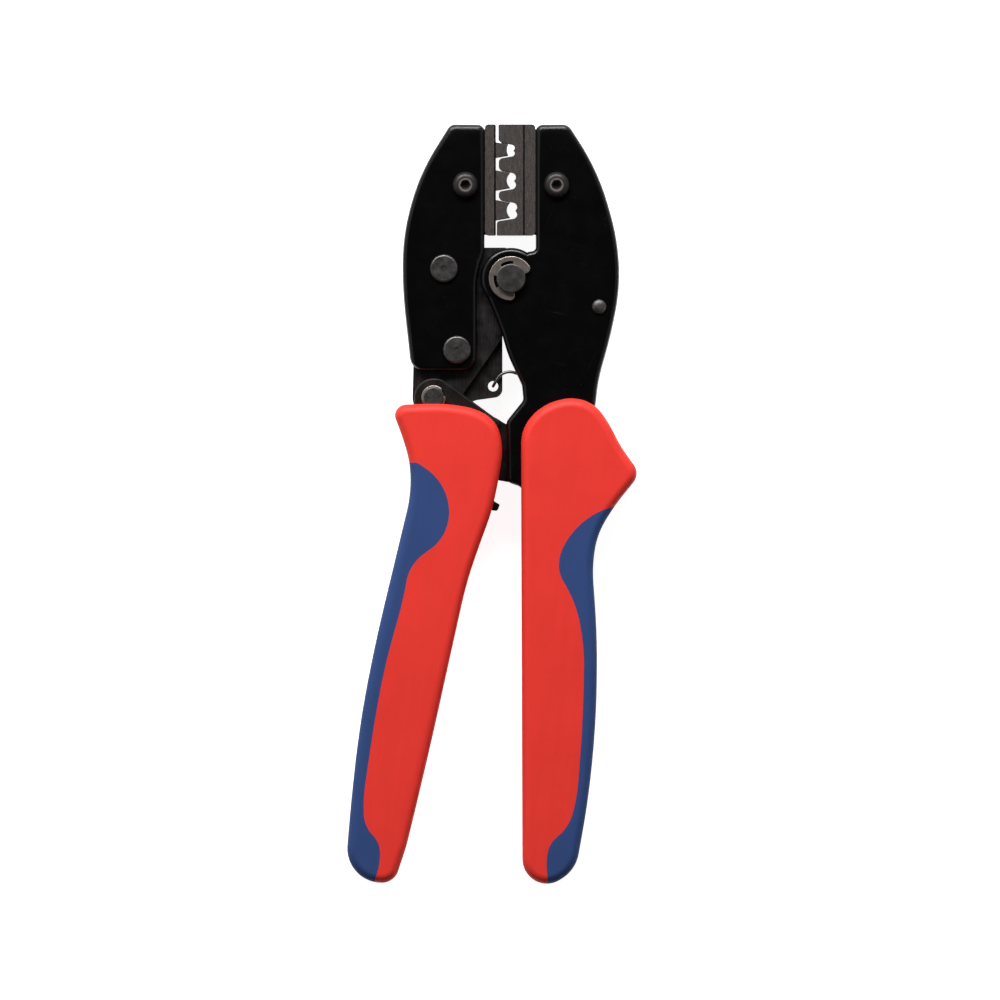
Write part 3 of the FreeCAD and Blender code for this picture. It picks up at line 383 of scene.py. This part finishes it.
def softened(node, width):
    """A copy of a CAD piece with its sharp edges eased, which stands for the piece."""
    source = frame["nodes"][node]
    mesh = source.data.copy()
    piece = placed(node + "_eased", mesh)
    solid = bmesh.new()
    solid.from_mesh(mesh)
    bmesh.ops.remove_doubles(solid, verts=solid.verts, dist=WELD)
    bmesh.ops.dissolve_limit(solid, angle_limit=FLAT, verts=solid.verts, edges=solid.edges)
    for face in solid.faces:
        face.smooth = True
    solid.to_mesh(mesh)
    solid.free()
    custom = mesh.attributes.get("custom_normal")
    if custom:
        mesh.attributes.remove(custom)
    edge = piece.modifiers.new("eased_edges", "BEVEL")
    edge.limit_method = "ANGLE"
    edge.angle_limit = SHARP
    edge.width = width
    edge.segments = 3
    even = piece.modifiers.new("even_faces", "WEIGHTED_NORMAL")
    even.keep_sharp = False
    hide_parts(node)
    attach(piece, source["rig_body"])
    return piece


def ease(material, slot, width, *nodes):
    """Dresses eased copies of CAD pieces in a material; the slot argument is not used."""
    for node in nodes:
        piece = softened(node, width)
        dress(material, piece)


def dress_all():
    red = moulded("red_grip_plastic", srgb(238, 57, 47), 0.52, 0.32, 0.35)
    blue = moulded("blue_grip_rubber", srgb(46, 71, 124), 0.66, 0.26, 0.5)
    for grip in ("moving_grip", "fixed_grip"):
        ease(red, "red_grip", GRIP_EDGE, grip + "_body")
        ease(blue, "blue_grip", GRIP_EDGE, grip + "_insert")

    dress(lacquer("black_lacquer", srgb(5, 5, 6), srgb(60, 58, 57)),
          *cad("jaw_cover_front", "jaw_cover_rear", "frame_plate_front", "frame_plate_rear"))
    ease(blued_steel("dark_core_steel", srgb(25, 23, 24), srgb(68, 64, 64)), "dark_steel",
         FINE_EDGE, "jaw_core_front", "jaw_core_middle", "jaw_core_rear", "fixed_jaw_spacer")
    dress(blued_steel("cheek_steel", srgb(27, 25, 24), srgb(56, 52, 50), 30),
          *cad("handle_cheek_front", "handle_cheek_rear"))
    ease(blued_steel("link_steel", srgb(24, 21, 20), srgb(60, 56, 54)), "grey_steel",
         LINK_EDGE, "toggle_link")
    ease(blued_steel("pawl_steel", srgb(26, 24, 24), srgb(56, 53, 52), 50), "dark_steel",
         PAWL_EDGE, "ratchet_pawl")

    for name in ("jaw_rivet_upper", "jaw_rivet_lower", "main_pivot_pin", "handle_pivot_pin",
                 "spring_post", "toggle_pivot_pin", "knee_pin", "pawl_pin", "fixed_tail_rivet",
                 "moving_tail_rivet"):
        dress(turned_steel(name + "_steel", name, srgb(58, 57, 57), srgb(118, 115, 114),
                           dome=2.0 if name == "spring_post" else None), *cad(name))

    dress(spring_steel("clip_steel", srgb(140, 128, 120), srgb(196, 184, 176)),
          *cad("main_pivot_clip", "handle_pivot_clip"))
    dress(spring_steel("spring_wire_steel", srgb(90, 84, 80), srgb(150, 142, 136)),
          *cad("pawl_spring"))

    for name in ("die_left", "die_right"):
        ease(die_steel(name + "_steel", name, srgb(58, 53, 51), srgb(100, 93, 90)),
             "die_steel", FINE_EDGE, name)
    for name in ("die_screw_left", "die_screw_right"):
        # The last colour is the painted highlight ring round the socket.
        dress(oxide_screw_painted_light(name + "_oxide", name, srgb(20, 18, 17), srgb(84, 79, 76),
                          srgb(172, 163, 157)), *cad(name))


def return_spring():
    """A copy of the return spring, dressed in spring steel, stands in for the CAD piece where it
    lies.
    """
    spring = placed("return_spring_wire", frame["nodes"]["return_spring"].data.copy())
    dress(spring_steel("return_spring_steel", srgb(84, 78, 75), srgb(150, 142, 137)), spring)
    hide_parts("return_spring")
    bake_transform(spring)


dress_all()
return_spring()


# ---------------------------------------------------------------- table, light and camera

def seen_directly(tree):
    """1 for camera, glossy and transmission rays, 0 for the light that falls on the tool."""
    path = add(tree, "ShaderNodeLightPath")
    shown = maths(tree, "MAXIMUM", path.outputs["Is Camera Ray"], path.outputs["Is Glossy Ray"])
    return maths(tree, "MAXIMUM", shown, path.outputs["Is Transmission Ray"])


def table():
    """A white table that keeps the tool's shadow."""
    mesh = bpy.data.meshes.new("table")
    corners = [(x * TABLE_HALF, y * TABLE_HALF, 0)
               for x, y in ((-1, -1), (1, -1), (1, 1), (-1, 1))]
    mesh.from_pydata(corners, [], [(0, 1, 2, 3)])
    floor = placed("table", mesh)
    material = bpy.data.materials.new("white_table")
    material.use_nodes = True
    tree = material.node_tree
    tree.nodes.remove(tree.nodes["Principled BSDF"])
    matt = add(tree, "ShaderNodeBsdfDiffuse", {"Color": (TABLE_GREY, TABLE_GREY, TABLE_GREY, 1)})
    glow = add(tree, "ShaderNodeEmission",
               {"Strength": maths(tree, "MULTIPLY", seen_directly(tree), TABLE_GLOW)})
    both = add(tree, "ShaderNodeAddShader", {0: matt.outputs[0], 1: glow.outputs[0]})
    tree.links.new(both.outputs[0], tree.nodes["Material Output"].inputs["Surface"])
    mesh.materials.append(material)


def sky():
    """A studio that is dim overhead and brightest beyond the jaws, white to the camera."""
    world = bpy.data.worlds.new("studio")
    bpy.context.scene.world = world
    world.use_nodes = True
    tree = world.node_tree
    way = add(tree, "ShaderNodeTexCoord").outputs["Generated"]
    parts = add(tree, "ShaderNodeSeparateXYZ", {0: way}).outputs
    level = ramp(tree, parts["Z"], [(0.0, 0.60), (0.30, 0.45), (0.62, 0.16), (0.9, 0.02)])
    side = ramp(tree, parts["Y"], [(0.0, 0.25), (0.7, 1.0)])
    level = maths(tree, "MULTIPLY", level, side)
    camera = add(tree, "ShaderNodeLightPath").outputs["Is Camera Ray"]
    shown = between(tree, camera, level, (1, 1, 1))
    tree.links.new(shown, tree.nodes["Background"].inputs["Color"])


def softbox(name, place, watts, width, height):
    """A soft area lamp aimed at the middle of the tool."""
    lamp = bpy.data.lights.new(name, "AREA")
    lamp.shape = "RECTANGLE"
    lamp.size, lamp.size_y = width, height
    lamp.energy = watts
    piece = placed(name, lamp)
    piece.location = place
    piece.rotation_euler = (AIM - Vector(place)).to_track_quat("-Z", "Y").to_euler()


def camera():
    """Straight above the tool, from far away, so that upright walls stay hidden."""
    view = bpy.data.cameras.new("camera")
    view.lens = LENS
    view.sensor_width = SENSOR
    piece = placed("camera", view)
    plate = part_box("frame_plate_front")[1].z
    piece.location = (CAMERA_X, CAMERA_Y, plate + FIELD * LENS / SENSOR)
    bpy.context.scene.camera = piece


table()
sky()
softbox("left_softbox", (-0.80, 0.15, 0.70), 1.3, 0.9, 0.9)
softbox("right_softbox", (0.80, 0.05, 0.70), 0.8, 0.9, 0.9)
softbox("top_softbox", (-0.12, 0.80, 0.62), 14.6, 1.0, 0.26)
camera()
bpy.context.scene.view_settings.view_transform = "Standard"
